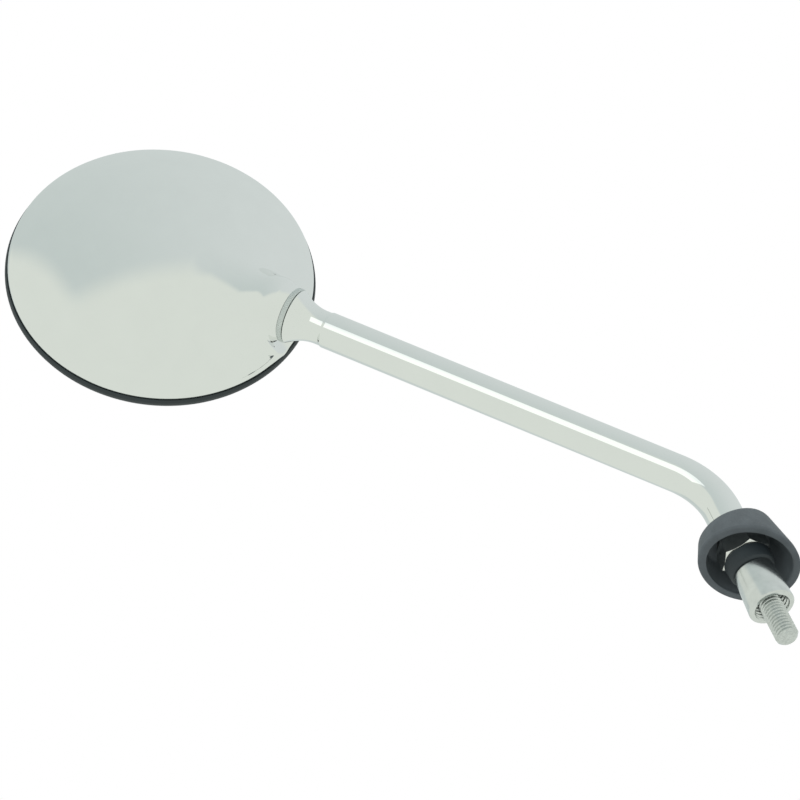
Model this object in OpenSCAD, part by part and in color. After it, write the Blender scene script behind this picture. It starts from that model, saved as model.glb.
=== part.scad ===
// Motorcycle mirror: a round chromed head on a bent stem with a threaded foot.
// The origin is on the stud's axis at the barrel's lower face, +Z runs up the stem,
// the arm leans towards +X and the glass looks towards -Y.

/* [Stud and foot] */
// Outer diameter of the stud's thread
stud_d = 8; // [6:0.5:10]
// Pitch diameter of the thread, the shank's diameter inside the foot
shank_d = 7.2; // [5.4:0.1:7.6]
// Length of stud that stands out below the barrel
stud_out = 14; // [8:0.5:25]
// Depth of the stud's thread inside the stem
stud_in_stem = 12; // [8:0.5:13]
// Chamfer at the stud's tip
stud_chamfer = 0.9; // [0.3:0.1:1.5]
// Length of the spacer barrel
barrel_l = 16.2; // [10:0.2:25]
// Diameter of the barrel at its lower face
barrel_low_d = 16.2; // [14:0.1:20]
// Diameter of the barrel where it meets the rubber bush
barrel_top_d = 14.2; // [12.5:0.1:18]
// Diameter of the barrel's counterbore
barrel_bore_d = 11.4; // [10.4:0.1:12]
// Depth of the barrel's counterbore
barrel_bore_deep = 10; // [4:0.5:13]
// Length of the rubber bush
bush_l = 6.2; // [3:0.2:12]
// Diameter of the rubber bush at the lock nut
bush_d = 16.6; // [14:0.1:20]
// Width of the lock nut across its flats
nut_af = 15.8; // [13:0.1:19]
// Thickness of the lock nut
nut_h = 6.6; // [4:0.2:10]

/* [Rubber boot] */
// Height of the boot's back face over the lock nut's top
boot_over_nut = 5.6; // [5:0.1:7]
// Depth of the boot from its back face to its rim
boot_l = 12.7; // [9:0.1:16]
// Outer diameter of the boot at its rim
boot_rim_d = 32; // [28:0.5:40]
// Outer diameter of the boot at its back
boot_back_d = 25.4; // [22:0.2:30]
// Wall of the boot at its rim
boot_wall = 3; // [1.6:0.1:4]
// Thickness of the boot's back
boot_back_t = 3.2; // [2:0.1:5]
// Lean of the boot's cup from the stem
boot_lean = 9; // [0:1:10]
// Direction of that lean around the stem
boot_lean_dir = -50; // [-180:5:180]

/* [Stem] */
// Outer diameter of the stem's tube
tube_d = 13.2; // [12:0.1:16]
// Wall of the stem's tube
tube_wall = 1.2; // [0.8:0.1:1.6]
// Angle of the bend between foot and arm
bend = 45; // [20:1:70]
// Radius of the bend at the tube's middle line
bend_r = 30; // [22:1:36]
// Height at which the axes of foot and arm cross
corner_z = 56.5; // [54:0.5:80]
// Length of the arm from that crossing to its bell mouth
arm_l = 161.7; // [80:0.5:260]
// Diameter of the bell mouth
bell_d = 19.8; // [19:0.1:20.4]
// Length of the bell's flare
bell_flare_l = 11; // [9:0.5:16]
// Diameter of the neck behind the flare
neck_d = 12.5; // [12.2:0.1:13]
// Length of the neck up to the full tube
neck_l = 1.4; // [0.6:0.1:4]

/* [Ball joint] */
// Diameter of the ball seat that is pressed into the shell
ball_d = 23.4; // [23:0.1:24.4]
// Distance from the bell mouth to the ball's middle
ball_set = 8.7; // [8.6:0.05:9]
// Diameter of the knurled seat ring
ring_d = 20.4; // [20:0.1:21]
// Height of the seat ring's knurled edge
ring_edge_h = 2.3; // [1.6:0.1:2.3]
// Diameter of the hole in the seat ring
ring_bore_d = 17.2; // [16.8:0.1:17.6]
// Gap between sliding faces of the ball joint
seat_gap = 0.25; // [0.2:0.05:0.4]
// Diameter of the draw bolt
bolt_d = 5; // [4:0.1:5.4]
// Diameter of the hole that the draw bolt tilts in
ball_hole_d = 12.8; // [12.4:0.1:13.4]
// Thickness of the floating ball washer
ball_washer_t = 1.4; // [0.8:0.1:1.6]
// Outer diameter of the floating ball washer
ball_washer_d = 16.6; // [15.6:0.1:17]
// Length of the compressed tension spring
spring_l = 8; // [6:0.5:9]
// Outer diameter of the tension spring
spring_d = 9.6; // [8.6:0.1:10]
// Wire of the tension spring
spring_wire = 1.5; // [1:0.1:1.8]
// Width of the tension nut across its flats
bolt_nut_af = 8; // [7:0.1:8]
// Thickness of the tension nut
bolt_nut_h = 4; // [3:0.1:4.5]

/* [Head] */
// Outer diameter of the head over its bezel
head_d = 113; // [100:0.5:130]
// Wall of the steel shell
shell_wall = 1; // [0.7:0.1:1.3]
// Radius of the shell's dome
dome_r = 90; // [75:1:130]
// Radius that rounds the dome into the rim
shoulder_r = 3; // [2.5:0.5:6]
// Height of the shell's straight rim
rim_h = 0.8; // [0.6:0.1:2]
// Height of the bezel's front edge before the shell's rim
bezel_front = 2.6; // [2:0.1:5]
// Height of bezel that shows below the shell
bezel_show = 1.7; // [1:0.1:3]
// Step from the shell's rim out to the bezel's edge
bezel_step = 0.9; // [0.4:0.1:2]
// Width of the bezel's lip over the glass
bezel_lip = 2.4; // [1.5:0.1:4]
// Thickness of that lip, in front of the glass's edge
bezel_lip_t = 1.6; // [1.2:0.1:2]
// Wall of the bezel between the glass and the shell
bezel_wall = 0.8; // [0.6:0.1:1.2]
// Distance of the ball's middle in from the head's edge
ball_inset = 10.9; // [10.5:0.1:12]
// Height of the ball's middle over the bezel's widest line
ball_z = 15.1; // [14.6:0.1:18]
// Rise of the seat's axis out of the head
seat_rise = 10; // [5:1:16]
// Radius of the pocket in the shell's shoulder that the seat ring swings in
pocket_r = 11.5; // [11:0.1:11.8]
// Distance of that pocket's floor from the ball's middle
pocket_floor = 4.7; // [4.5:0.1:5]
// Length of the fairing that runs from the seat into the dome
fairing_l = 20; // [14:1:26]
// Half angle of that fairing's taper
fairing_taper = 15; // [10:1:20]
// Tip of the head around the X axis, as it is set in its ball joint
head_tip = 11.3; // [-4:0.1:16]

/* [Glass] */
// Thickness of the mirror glass
glass_t = 2; // [1.6:0.1:3]
// Radius of curvature of the convex glass
glass_curve_r = 1200; // [600:50:3000]
// Thickness of the foam pad behind the glass
pad_t = 1.2; // [0.8:0.1:2]
// Thickness of the backing plate
plate_t = 1; // [0.8:0.1:1.6]
// Number of foam blocks between the backing plate and the shell
block_count = 6; // [3:1:8]
// Width of each foam block around the head
block_w = 8; // [5:0.5:14]
// Length of each foam block towards the head's middle
block_l = 6; // [3:0.5:12]

/* [Hidden] */
$fn = 96;

// Radial gap of a part on the stud or the bolt
thread_gap = 0.05;
// Gap between faces that slide past each other
slide_gap = 0.3;
// Gap between the seat ring and the bell mouth that it turns on
ring_gap = 0.2;
// Gap around the glass in the bezel
glass_gap = 0.2;
// Extra length of every cut, so that it leaves no skin
cut = 1;

// Foot, from the barrel upwards
shank_r = shank_d / 2;
thread_r = stud_d / 2;
foot_bore_r = shank_r + thread_gap;
bush_z = barrel_l;
nut_z = bush_z + bush_l;
nut_top = nut_z + nut_h;
stem_z = nut_top + slide_gap;
edge = 0.5;

// Stem
tube_r = tube_d / 2;
tube_in_r = tube_r - tube_wall;
bend_start = corner_z - bend_r * tan(bend / 2);
bend_leg = bend_r * tan(bend / 2);
straight_l = arm_l - bend_leg;
bell_r = bell_d / 2;
neck_r = neck_d / 2;
flare_steps = 10;
flare_power = 2.1;
neck_step = 1.2;
insert_l = 15;
// How much each face of the tube's wall is drawn in by the bend
bend_draw = 0.05;

// Ball joint, measured from the ball's middle towards the stem
ball_r = ball_d / 2;
ball_in_r = ball_r - shell_wall;
bolt_r = bolt_d / 2;
ring_face = ball_set - ring_gap;
washer_out_r = ball_in_r - seat_gap;
washer_in_r = washer_out_r - ball_washer_t;
cup_r = washer_in_r - seat_gap;
cup_back = 5.6;
cup_edge_r = sqrt(cup_r * cup_r - cup_back * cup_back);
washer_bore_r = ball_hole_d / 2 - 0.8;
insert_face = ball_r + 0.6;
spring_turns = 4;
spring_end = cup_back - spring_l;
flat_washer_t = 0.8;
nut_face = spring_end - flat_washer_t;
bolt_tail = nut_face - bolt_nut_h - 1;
bolt_grip = 10;
ball_s = arm_l + ball_set;

// Head, measured from the bezel's widest line
ball_x = head_d / 2 - ball_inset;
rim_r = head_d / 2 - bezel_step;
shoulder_c = rim_r - shoulder_r;
shoulder_z = bezel_show + rim_h;
dome_c = shoulder_z - sqrt(pow(dome_r - shoulder_r, 2) - pow(shoulder_c, 2));
dome_lean = atan2(shoulder_z - dome_c, shoulder_c);
shell_lap = 1.6;
shell_edge = bezel_show - shell_lap;
lap_gap = 0.1;
bezel_in_r = rim_r - shell_wall - lap_gap;
glass_seat_r = bezel_in_r - bezel_wall;
glass_r = glass_seat_r - glass_gap;
lip_r = glass_r - bezel_lip;
lip_back = -bezel_front + bezel_lip_t;
glass_front = lip_back + glass_fall(glass_r) - glass_fall(lip_r);
glass_back = glass_front + glass_t;
plate_z = glass_back + pad_t;
pad_r = glass_r - 1;
glass_steps = 12;

// Puts a piece on the arm's axis, at a distance from the crossing of the axes
module on_arm(distance) {
    translate([distance * sin(bend), 0, corner_z + distance * cos(bend)])
        rotate([0, bend, 0])
            children();
}

// Puts a piece at the end of the bend, with its +Z along the arm
module after_bend() {
    translate([bend_r, 0, bend_start]) rotate([0, bend, 0]) translate([-bend_r, 0, 0]) children();
}

// Puts a piece at the ball's middle, with its +Z along the stem towards the bell
module at_ball() {
    on_arm(ball_s) rotate([180, 0, 0]) children();
}

// Puts a piece into the head: +X towards the seat, +Z through the dome
module in_head() {
    on_arm(ball_s)
        rotate([0, -bend, 0])
            rotate([-head_tip, 0, 0])
                rotate([0, 90 + bend, 0])
                    rotate([-90, 0, 0])
                        translate([-ball_x, 0, -ball_z])
                            children();
}

// Puts a piece on the seat's own axis inside the head
module on_seat() {
    translate([ball_x, 0, ball_z]) rotate([0, 90 - seat_rise, 0]) children();
}

// A hexagon nut with both faces chamfered
module hex_nut(flats, height, bore_r) {
    corner_r = flats / sqrt(3);
    difference() {
        intersection() {
            cylinder(h = height, r = corner_r, $fn = 6);
            rotate_extrude()
                polygon([[0, 0], [flats / 2, 0], [corner_r, 0.5 * (corner_r - flats / 2) + 0.3],
                         [corner_r, height - 0.5 * (corner_r - flats / 2) - 0.3], [flats / 2, height],
                         [0, height]]);
        }
        translate([0, 0, -cut]) cylinder(h = height + 2 * cut, r = bore_r);
    }
}

// The points of an arc around a centre, from one angle to another
function arc_points(centre, r, from, to, steps) =
    [for (i = [0:steps]) let (t = from + (to - from) * i / steps)
        [centre[0] + r * cos(t), centre[1] + r * sin(t)]];

module stud() {
    color([0.72, 0.72, 0.70])
        rotate_extrude()
            polygon([[0, -stud_out], [thread_r - stud_chamfer, -stud_out],
                     [thread_r, -stud_out + stud_chamfer], [thread_r, 0],
                     [shank_r, 0], [shank_r, stem_z + stud_in_stem], [0, stem_z + stud_in_stem]]);
}

module barrel() {
    low_r = barrel_low_d / 2;
    top_r = barrel_top_d / 2;
    color([0.82, 0.83, 0.82])
        difference() {
            rotate_extrude()
                polygon([[0, 0], [low_r - edge, 0], [low_r, edge],
                         [top_r, barrel_l - edge], [top_r - edge, barrel_l], [0, barrel_l]]);
            translate([0, 0, -cut]) cylinder(h = barrel_l + 2 * cut, r = foot_bore_r);
            translate([0, 0, -cut]) cylinder(h = barrel_bore_deep + cut, d = barrel_bore_d);
        }
}

module rubber_bush() {
    low_r = (barrel_top_d + bush_d) / 4 + 0.2;
    top_r = bush_d / 2;
    color([0.09, 0.10, 0.11])
        difference() {
            rotate_extrude()
                polygon([[0, bush_z], [low_r - 2 * edge, bush_z], [low_r, bush_z + 2 * edge],
                         [top_r, nut_z - edge], [top_r - edge, nut_z], [0, nut_z]]);
            translate([0, 0, bush_z - cut]) cylinder(h = bush_l + 2 * cut, r = foot_bore_r);
        }
}

module lock_nut() {
    color([0.85, 0.86, 0.86])
        translate([0, 0, nut_z]) hex_nut(nut_af, nut_h, foot_bore_r);
}

// The boot's outside or its cavity, along its own axis with the rim at zero
module boot_cup(rim_r, back_r, depth, corner) {
    rotate_extrude()
        polygon(concat([[0, 0], [rim_r, 0], [rim_r, 1.2]],
                       arc_points([back_r - corner, depth - corner], corner, 0, 90, 6),
                       [[0, depth]]));
}

module boot() {
    back_z = nut_top + boot_over_nut;
    color([0.20, 0.21, 0.22])
        difference() {
            translate([0, 0, back_z])
                rotate([0, 0, boot_lean_dir]) rotate([0, -boot_lean, 0])
                    translate([0, 0, -boot_l])
                        difference() {
                            boot_cup(boot_rim_d / 2, boot_back_d / 2, boot_l, 2.6);
                            translate([0, 0, -0.01])
                                boot_cup(boot_rim_d / 2 - boot_wall, boot_back_d / 2 - boot_wall + 0.8,
                                         boot_l - boot_back_t, 1.4);
                        }
            translate([0, 0, nut_top - 6 * cut])
                cylinder(h = boot_l + boot_over_nut + 8 * cut, r = tube_r + slide_gap);
        }
}

module foot_insert() {
    color([0.70, 0.70, 0.68])
        difference() {
            translate([0, 0, stem_z]) cylinder(h = stud_in_stem + 1, r = tube_in_r);
            translate([0, 0, stem_z - cut]) cylinder(h = stud_in_stem + 3 * cut, r = foot_bore_r);
        }
}

// The bell's outline, seen from its mouth: radius at each distance from the mouth
function flare_radius(t) = neck_r + (bell_r - neck_r) * pow(1 - t, flare_power);
flare_points = [for (i = [0:flare_steps])
    [flare_radius(i / flare_steps), straight_l - bell_flare_l * i / flare_steps]];

// The straights end in a ridge inside the wall of the bend, which is a little thinner
module arm_tube() {
    neck_end = bell_flare_l + neck_l;
    mouth_in_r = ring_bore_d / 2;
    mouth_deep = insert_face - ball_set;
    wall_mid_r = tube_r - tube_wall / 2;
    color([0.86, 0.88, 0.87]) {
        rotate_extrude()
            polygon([[tube_in_r, stem_z], [tube_r, stem_z], [tube_r, bend_start],
                     [wall_mid_r, bend_start + tube_wall / 2], [tube_in_r, bend_start]]);
        translate([bend_r, 0, bend_start])
            rotate([90, 0, 0]) rotate([0, 0, 180 - bend])
                rotate_extrude(angle = bend)
                    translate([bend_r, 0])
                        difference() {
                            circle(tube_r - bend_draw);
                            circle(tube_in_r + bend_draw);
                        }
        after_bend()
            rotate_extrude()
                polygon(concat([[mouth_in_r, straight_l]], flare_points,
                               [[neck_r, straight_l - neck_end], [tube_r, straight_l - neck_end - neck_step],
                                [tube_r, 0], [wall_mid_r, -tube_wall / 2], [tube_in_r, 0],
                                [tube_in_r, straight_l - mouth_deep], [mouth_in_r, straight_l - 0.4]]));
    }
}

module neck_insert() {
    color([0.70, 0.70, 0.68])
        at_ball()
            difference() {
                translate([0, 0, insert_face]) cylinder(h = insert_l, r = tube_in_r);
                translate([0, 0, insert_face - cut])
                    cylinder(h = bolt_grip + 2 * cut, r = bolt_r + thread_gap);
            }
}

module draw_bolt() {
    color([0.75, 0.75, 0.73])
        at_ball()
            translate([0, 0, bolt_tail]) cylinder(h = insert_face + bolt_grip - bolt_tail, r = bolt_r);
}

module seat_ring() {
    ring_r = ring_d / 2;
    ball_face_r = ball_r + seat_gap;
    rim_z = ring_face - ring_edge_h;
    color([0.62, 0.64, 0.64])
        at_ball()
            difference() {
                translate([0, 0, rim_z]) cylinder(h = ring_edge_h, r = ring_r);
                sphere(ball_face_r);
                translate([0, 0, rim_z - cut]) cylinder(h = ring_edge_h + 2 * cut, d = ring_bore_d);
            }
}

module ball_washer() {
    color([0.72, 0.72, 0.70])
        at_ball()
            difference() {
                intersection() {
                    sphere(washer_out_r);
                    cylinder(h = ball_r, d = ball_washer_d);
                }
                sphere(washer_in_r);
                cylinder(h = ball_r, r = washer_bore_r);
                translate([0, 0, -ball_r]) cylinder(h = ball_r + cup_back, r = ball_r);
            }
}

module spring_cup() {
    color([0.70, 0.70, 0.68])
        at_ball()
            difference() {
                intersection() {
                    sphere(cup_r);
                    translate([0, 0, cup_back]) cylinder(h = cup_r, r = cup_edge_r + cut);
                }
                translate([0, 0, cup_back - cut]) cylinder(h = ball_r, r = bolt_r + thread_gap);
            }
}

// The spring's turns are drawn as close rings that touch, like the wire under full load
module tension_spring() {
    coil_r = spring_d / 2 - spring_wire / 2;
    rise = (spring_l - spring_wire) / spring_turns;
    color([0.45, 0.45, 0.46])
        at_ball()
            translate([0, 0, spring_end])
                rotate_extrude()
                    polygon(concat(
                        [for (i = [0:2 * spring_turns])
                            [coil_r + (i % 2 == 0 ? 1 : 0.55) * spring_wire / 2,
                             spring_wire / 2 + rise * i / 2]],
                        [[coil_r + spring_wire / 4, spring_l], [coil_r - spring_wire / 4, spring_l]],
                        [for (i = [2 * spring_turns:-1:0])
                            [coil_r - (i % 2 == 0 ? 1 : 0.55) * spring_wire / 2,
                             spring_wire / 2 + rise * i / 2]],
                        [[coil_r - spring_wire / 4, 0], [coil_r + spring_wire / 4, 0]]));
}

module spring_washer() {
    color([0.74, 0.74, 0.72])
        at_ball()
            translate([0, 0, nut_face])
                difference() {
                    cylinder(h = flat_washer_t, d = spring_d);
                    translate([0, 0, -cut]) cylinder(h = flat_washer_t + 2 * cut, r = bolt_r + thread_gap);
                }
}

module tension_nut() {
    color([0.76, 0.76, 0.74])
        at_ball()
            translate([0, 0, nut_face - bolt_nut_h]) hex_nut(bolt_nut_af, bolt_nut_h, bolt_r + thread_gap);
}

// The dome's solid, made smaller by an inset for its hollow
module dome_solid(inset, low) {
    tangent_z = dome_c + (dome_r - inset) * sin(dome_lean);
    rotate_extrude()
        polygon(concat([[0, low], [rim_r - inset, low]],
                       arc_points([shoulder_c, shoulder_z], shoulder_r - inset, 0, dome_lean, 8),
                       arc_points([0, dome_c], dome_r - inset, dome_lean, 90, 28)));
}

// The ball seat and its fairing, made smaller by an inset for its hollow
module seat_solid(inset) {
    r = ball_r - inset;
    tail_r = r / cos(fairing_taper) - fairing_l * tan(fairing_taper);
    join_z = -r * sin(fairing_taper);
    on_seat() {
        sphere(r);
        rotate([180, 0, 0])
            translate([0, 0, -join_z])
                cylinder(h = fairing_l + join_z, r1 = r * cos(fairing_taper), r2 = tail_r);
        translate([0, 0, -fairing_l]) sphere(tail_r);
    }
}

// The dome with the seat ring's pocket in its shoulder, and the ball seat with its fairing
module pressed_form(inset, low) {
    difference() {
        dome_solid(inset, low);
        on_seat() translate([0, 0, pocket_floor - inset]) cylinder(h = ball_d, r = pocket_r + inset);
    }
    seat_solid(inset);
}

module shell() {
    color([0.84, 0.86, 0.85])
        in_head()
            difference() {
                pressed_form(0, shell_edge);
                pressed_form(shell_wall, shell_edge - cut);
                on_seat() cylinder(h = ball_d, d = ball_hole_d);
            }
}

module bezel() {
    out_r = head_d / 2;
    wall_top = shell_edge + shell_lap;
    color([0.07, 0.08, 0.08])
        in_head()
            rotate_extrude()
                polygon([[lip_r, -bezel_front], [out_r - 1, -bezel_front], [out_r - 0.3, -bezel_front + 0.6],
                         [out_r, -0.6], [out_r, 0.4], [out_r - 0.3, bezel_show - lap_gap],
                         [rim_r + lap_gap, bezel_show - lap_gap], [rim_r + lap_gap, shell_edge - lap_gap],
                         [bezel_in_r, shell_edge - lap_gap], [bezel_in_r, wall_top],
                         [glass_seat_r, wall_top], [glass_seat_r, lip_back],
                         [lip_r, lip_back]]);
}

// How far the glass's curve has fallen back at a distance from the head's middle
function glass_fall(x) = glass_curve_r - sqrt(pow(glass_curve_r, 2) - pow(x, 2));

// The glass's curve from the middle out to its edge, where the edge stands at a height
function glass_curve(edge_z) =
    [for (i = [0:glass_steps]) let (x = glass_r * i / glass_steps)
        [x, edge_z + glass_fall(x) - glass_fall(glass_r)]];

// The same curve from the edge back to the middle
function glass_curve_back(edge_z) =
    let (points = glass_curve(edge_z)) [for (i = [glass_steps:-1:0]) points[i]];

module mirror_glass() {
    color([0.55, 0.60, 0.62])
        in_head()
            rotate_extrude() polygon(concat(glass_curve(glass_front), glass_curve_back(glass_back)));
}

module foam_pad() {
    color([0.15, 0.15, 0.16])
        in_head()
            rotate_extrude()
                intersection() {
                    polygon(concat(glass_curve(glass_back), [[glass_r, plate_z], [0, plate_z]]));
                    translate([0, -glass_r]) square([pad_r, 2 * glass_r]);
                }
}

module backing_plate() {
    color([0.55, 0.55, 0.54])
        in_head()
            translate([0, 0, plate_z]) cylinder(h = plate_t, r = pad_r);
}

// Foam blocks on the plate's edge that press it against the glass from inside the shell
module foam_blocks() {
    plate_top = plate_z + plate_t;
    color([0.30, 0.30, 0.31])
        in_head()
            intersection() {
                for (i = [0:block_count - 1])
                    rotate([0, 0, 360 * (i + 0.5) / block_count])
                        translate([pad_r - block_l - 1, -block_w / 2, plate_top])
                            cube([block_l, block_w, dome_r]);
                dome_solid(shell_wall + slide_gap, plate_top - cut);
            }
}

stud();
barrel();
rubber_bush();
lock_nut();
boot();
foot_insert();
arm_tube();
neck_insert();
draw_bolt();
seat_ring();
ball_washer();
spring_cup();
tension_spring();
spring_washer();
tension_nut();
shell();
bezel();
mirror_glass();
foam_pad();
backing_plate();
foam_blocks();
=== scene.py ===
# Motorcycle mirror: a round chromed head on a bent stem with a threaded foot.
# All lengths are in metres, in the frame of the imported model.
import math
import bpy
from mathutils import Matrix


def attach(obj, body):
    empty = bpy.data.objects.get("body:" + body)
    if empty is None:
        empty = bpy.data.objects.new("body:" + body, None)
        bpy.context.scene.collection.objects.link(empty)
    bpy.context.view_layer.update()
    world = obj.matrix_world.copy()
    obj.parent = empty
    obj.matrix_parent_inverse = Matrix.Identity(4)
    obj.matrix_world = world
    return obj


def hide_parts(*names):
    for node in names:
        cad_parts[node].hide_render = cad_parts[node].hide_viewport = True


bl_info = {
    "name": "Stem mirror",
    "version": (1, 0, 0),
    "blender": (4, 5, 0),
    "location": "View3D > Sidebar > Mirror",
    "description": "Builds the finishes and fine pieces of a round stem mirror",
    "category": "Object",
}

import bmesh
import bpy
import numpy as np
from bpy.props import FloatProperty, FloatVectorProperty, IntProperty, PointerProperty
from bpy.types import Operator, Panel, PropertyGroup
from mathutils import Matrix, Vector

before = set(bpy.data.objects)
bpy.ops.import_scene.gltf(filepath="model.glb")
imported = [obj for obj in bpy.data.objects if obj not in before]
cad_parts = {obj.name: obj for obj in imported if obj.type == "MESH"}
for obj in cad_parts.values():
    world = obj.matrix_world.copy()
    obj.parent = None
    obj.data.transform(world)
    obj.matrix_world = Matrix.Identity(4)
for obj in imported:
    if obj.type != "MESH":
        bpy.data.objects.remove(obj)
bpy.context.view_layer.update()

MM = 0.001


def linear(hex_colour):
    """The linear colour of an sRGB hex value such as #C8CDCB."""
    parts = [int(hex_colour[i:i + 2], 16) / 255 for i in (1, 3, 5)]
    return tuple(c / 12.92 if c <= 0.04045 else ((c + 0.055) / 1.055) ** 2.4 for c in parts)


def length(text, value_mm, **settings):
    """A length property whose default is given in millimetres."""
    return FloatProperty(name=text, description=text, default=value_mm * MM, unit="LENGTH",
                         precision=5, **settings)


def angle(text, degrees):
    """An angle property whose default is given in degrees."""
    return FloatProperty(name=text, description=text, default=math.radians(degrees), unit="ROTATION")


def colour(text, hex_colour):
    """A colour property whose default is an sRGB hex value."""
    return FloatVectorProperty(name=text, description=text, default=linear(hex_colour),
                               subtype="COLOR", size=3, min=0, max=1)


def number(text, value):
    """A plain number property."""
    return FloatProperty(name=text, description=text, default=value)


class FootSizes(PropertyGroup):
    """Stud, barrel, bush, lock nut and boot."""
    stud: length("Outer diameter of the stud's thread", 8)
    shank: length("Diameter of the stud inside the foot", 7.2)
    stud_out: length("Length of stud below the barrel", 14)
    stud_top: length("Height of the stud's upper end", 41.3)
    pitch: length("Pitch of the stud's thread", 1.25)
    barrel_low: length("Diameter of the barrel at its lower face", 16.2)
    barrel_top: length("Diameter of the barrel at the bush", 14.2)
    barrel_length: length("Length of the barrel", 16.2)
    bore: length("Diameter of the barrel's counterbore", 11.4)
    bore_depth: length("Depth of the barrel's counterbore", 10)
    bore_pitch: length("Pitch of the thread in the counterbore", 1.5)
    hole: length("Diameter of the holes that the stud passes", 7.3)
    bush: length("Diameter of the rubber bush at the lock nut", 16.6)
    bush_length: length("Length of the rubber bush", 6.2)
    nut_flats: length("Width of the lock nut across its flats", 15.8)
    nut_height: length("Thickness of the lock nut", 6.6)
    boot_back_height: length("Height of the boot's back face", 34.6)
    boot_length: length("Depth of the boot", 12.7)
    boot_rim: length("Outer diameter of the boot's rim", 32)
    boot_back: length("Outer diameter of the boot's back", 25.4)
    boot_wall: length("Wall of the boot", 2.5)
    boot_floor: length("Thickness of the boot's back", 3.2)
    boot_rim_height: length("Height of the middle of the boot's rim", 19.6)
    boot_slant: angle("Slant of the boot's rim", 23)
    boot_slant_towards: angle("Direction in which the boot's rim rises", 20)


class StemSizes(PropertyGroup):
    """The bent tube with its bell mouth."""
    foot_end: length("Height of the tube's lower end", 29.3)
    corner: length("Height at which the axes of foot and arm cross", 56.5)
    bend: angle("Angle of the bend", 45)
    bend_radius: length("Radius of the bend", 30)
    arm: length("Length from the crossing to the bell mouth", 161.7)
    tube: length("Outer diameter of the tube", 13.2)
    wall: length("Wall of the tube", 1.2)
    bell: length("Diameter of the bell mouth", 19.8)
    flare: length("Length of the bell's flare", 11)
    neck: length("Diameter of the neck", 12.5)
    neck_length: length("Length of the neck", 1.4)
    neck_step: length("Length of the step from the neck to the tube", 1.2)
    mouth: length("Diameter of the bell's bore", 17.2)
    mouth_depth: length("Depth of the bell's bore", 3.6)


class JointSizes(PropertyGroup):
    """Ball seat, knurled ring and tension spring."""
    ball: length("Diameter of the ball seat", 23.4)
    ball_distance: length("Distance from the crossing to the ball's middle", 170.4)
    ring: length("Diameter of the knurled ring", 20.4)
    ring_bore: length("Bore of the knurled ring", 17.2)
    ring_face: length("Distance from the ball's middle to the ring's face", 8.5)
    ring_gap: length("Gap between the ring and the ball seat", 0.25)
    knurls: IntProperty(name="Knurls", description="Number of knurls around the ring", default=84)
    spring: length("Outer diameter of the tension spring", 9.6)
    spring_wire: length("Wire of the tension spring", 1.5)
    spring_length: length("Length of the compressed spring", 8)
    spring_end: length("Distance of the spring's far end beyond the ball's middle", -2.4)
    spring_turns: IntProperty(name="Spring turns", description="Turns of the tension spring", default=4)


class HeadSizes(PropertyGroup):
    """Shell, bezel and glass."""
    head: length("Outer diameter of the head", 113)
    ball_inset: length("Distance of the ball's middle in from the head's edge", 10.9)
    ball_height: length("Height of the ball's middle over the bezel's widest line", 15.1)
    seat_rise: angle("Rise of the seat's axis out of the head", 10)
    tip: angle("Tip of the head around the X axis", 11.3)
    bezel_step: length("Step from the shell's rim out to the bezel's edge", 0.9)
    bezel_front: length("Height of the bezel's front edge before the widest line", 2.6)
    bezel_show: length("Height of bezel that shows below the shell", 1.7)
    bezel_lap: length("Lap of the shell in the bezel", 1.6)
    bezel_wall: length("Wall of the bezel between glass and shell", 0.8)
    lip: length("Width of the bezel's lip over the glass", 2.4)
    lip_thickness: length("Thickness of the bezel's lip", 1.6)
    gap: length("Gap between the shell and the bezel", 0.1)
    glass_gap: length("Gap around the glass", 0.2)
    glass: length("Thickness of the glass", 2)
    glass_radius: length("Radius of the glass's curve", 1200)
    shell_wall: length("Wall of the shell", 1)
    dome: length("Radius of the shell's dome", 90)
    shoulder: length("Radius between the dome and the rim", 3)
    rim: length("Height of the shell's straight rim", 0.8)
    fairing: length("Length of the fairing behind the seat", 20)
    fairing_taper: angle("Half angle of the fairing's taper", 15)
    fairing_blend: length("Softness of the crease between the fairing and the dome", 10)
    pocket: length("Radius of the pocket that the ring swings in", 11.8)
    pocket_floor: length("Distance of the pocket's floor from the ball's middle", 3.8)
    pocket_blend: length("Softness of the pocket's edges", 1)
    bolt_hole: length("Diameter of the hole that the draw bolt tilts in", 12.8)


class Finishes(PropertyGroup):
    """Colours of the finishes."""
    chrome: colour("Chrome plate", "#F0F2F0")
    zinc: colour("Satin zinc plate", "#E4E7E5")
    stud: colour("Zinc plate on the thread", "#DDE1DF")
    nickel: colour("Bright nickel plate", "#F1F1EE")
    knurl: colour("Knurled zinc plate", "#DCE2E0")
    boot: colour("Charcoal rubber", "#535B5F")
    bush: colour("Black rubber", "#232C30")
    bezel: colour("Black bezel", "#1F2A2D")
    glass: colour("Silvered glass", "#DFE4E5")
    steel: colour("Turned steel", "#B9B9B4")
    spring: colour("Spring wire", "#7C7C7E")
    plate: colour("Pressed sheet", "#A9AAA6")
    foam: colour("Foam rubber", "#3A3B3D")


class StudioSizes(PropertyGroup):
    """Camera and light."""
    focal: FloatProperty(name="Focal length", description="Focal length in millimetres", default=139.5)
    position: FloatVectorProperty(name="Camera", description="Camera position", subtype="XYZ", size=3,
                                  default=(0.37173, 0.76073, -0.59056))
    turn: FloatVectorProperty(name="Camera turn", description="Camera rotation", subtype="EULER", size=3,
                              default=tuple(math.radians(a) for a in (133.8136, 17.6078, 175.8933)))
    tent_low: colour("Near wall of the light tent", "#E1E6DF")
    tent_high: colour("Roof of the light tent above the stem", "#CBD4D2")
    tent_far: colour("Roof of the light tent beyond the head", "#D9DFDE")
    strip: number("Brightness of the strip lamp that draws the stem's highlight", 0.4)
    fill: number("Strength of the soft fill light", 0.72)


# Mesh tools


def put(points, place):
    """Points moved by a matrix."""
    m = np.array(place)
    return points @ m[:3, :3].T + m[:3, 3]


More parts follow.
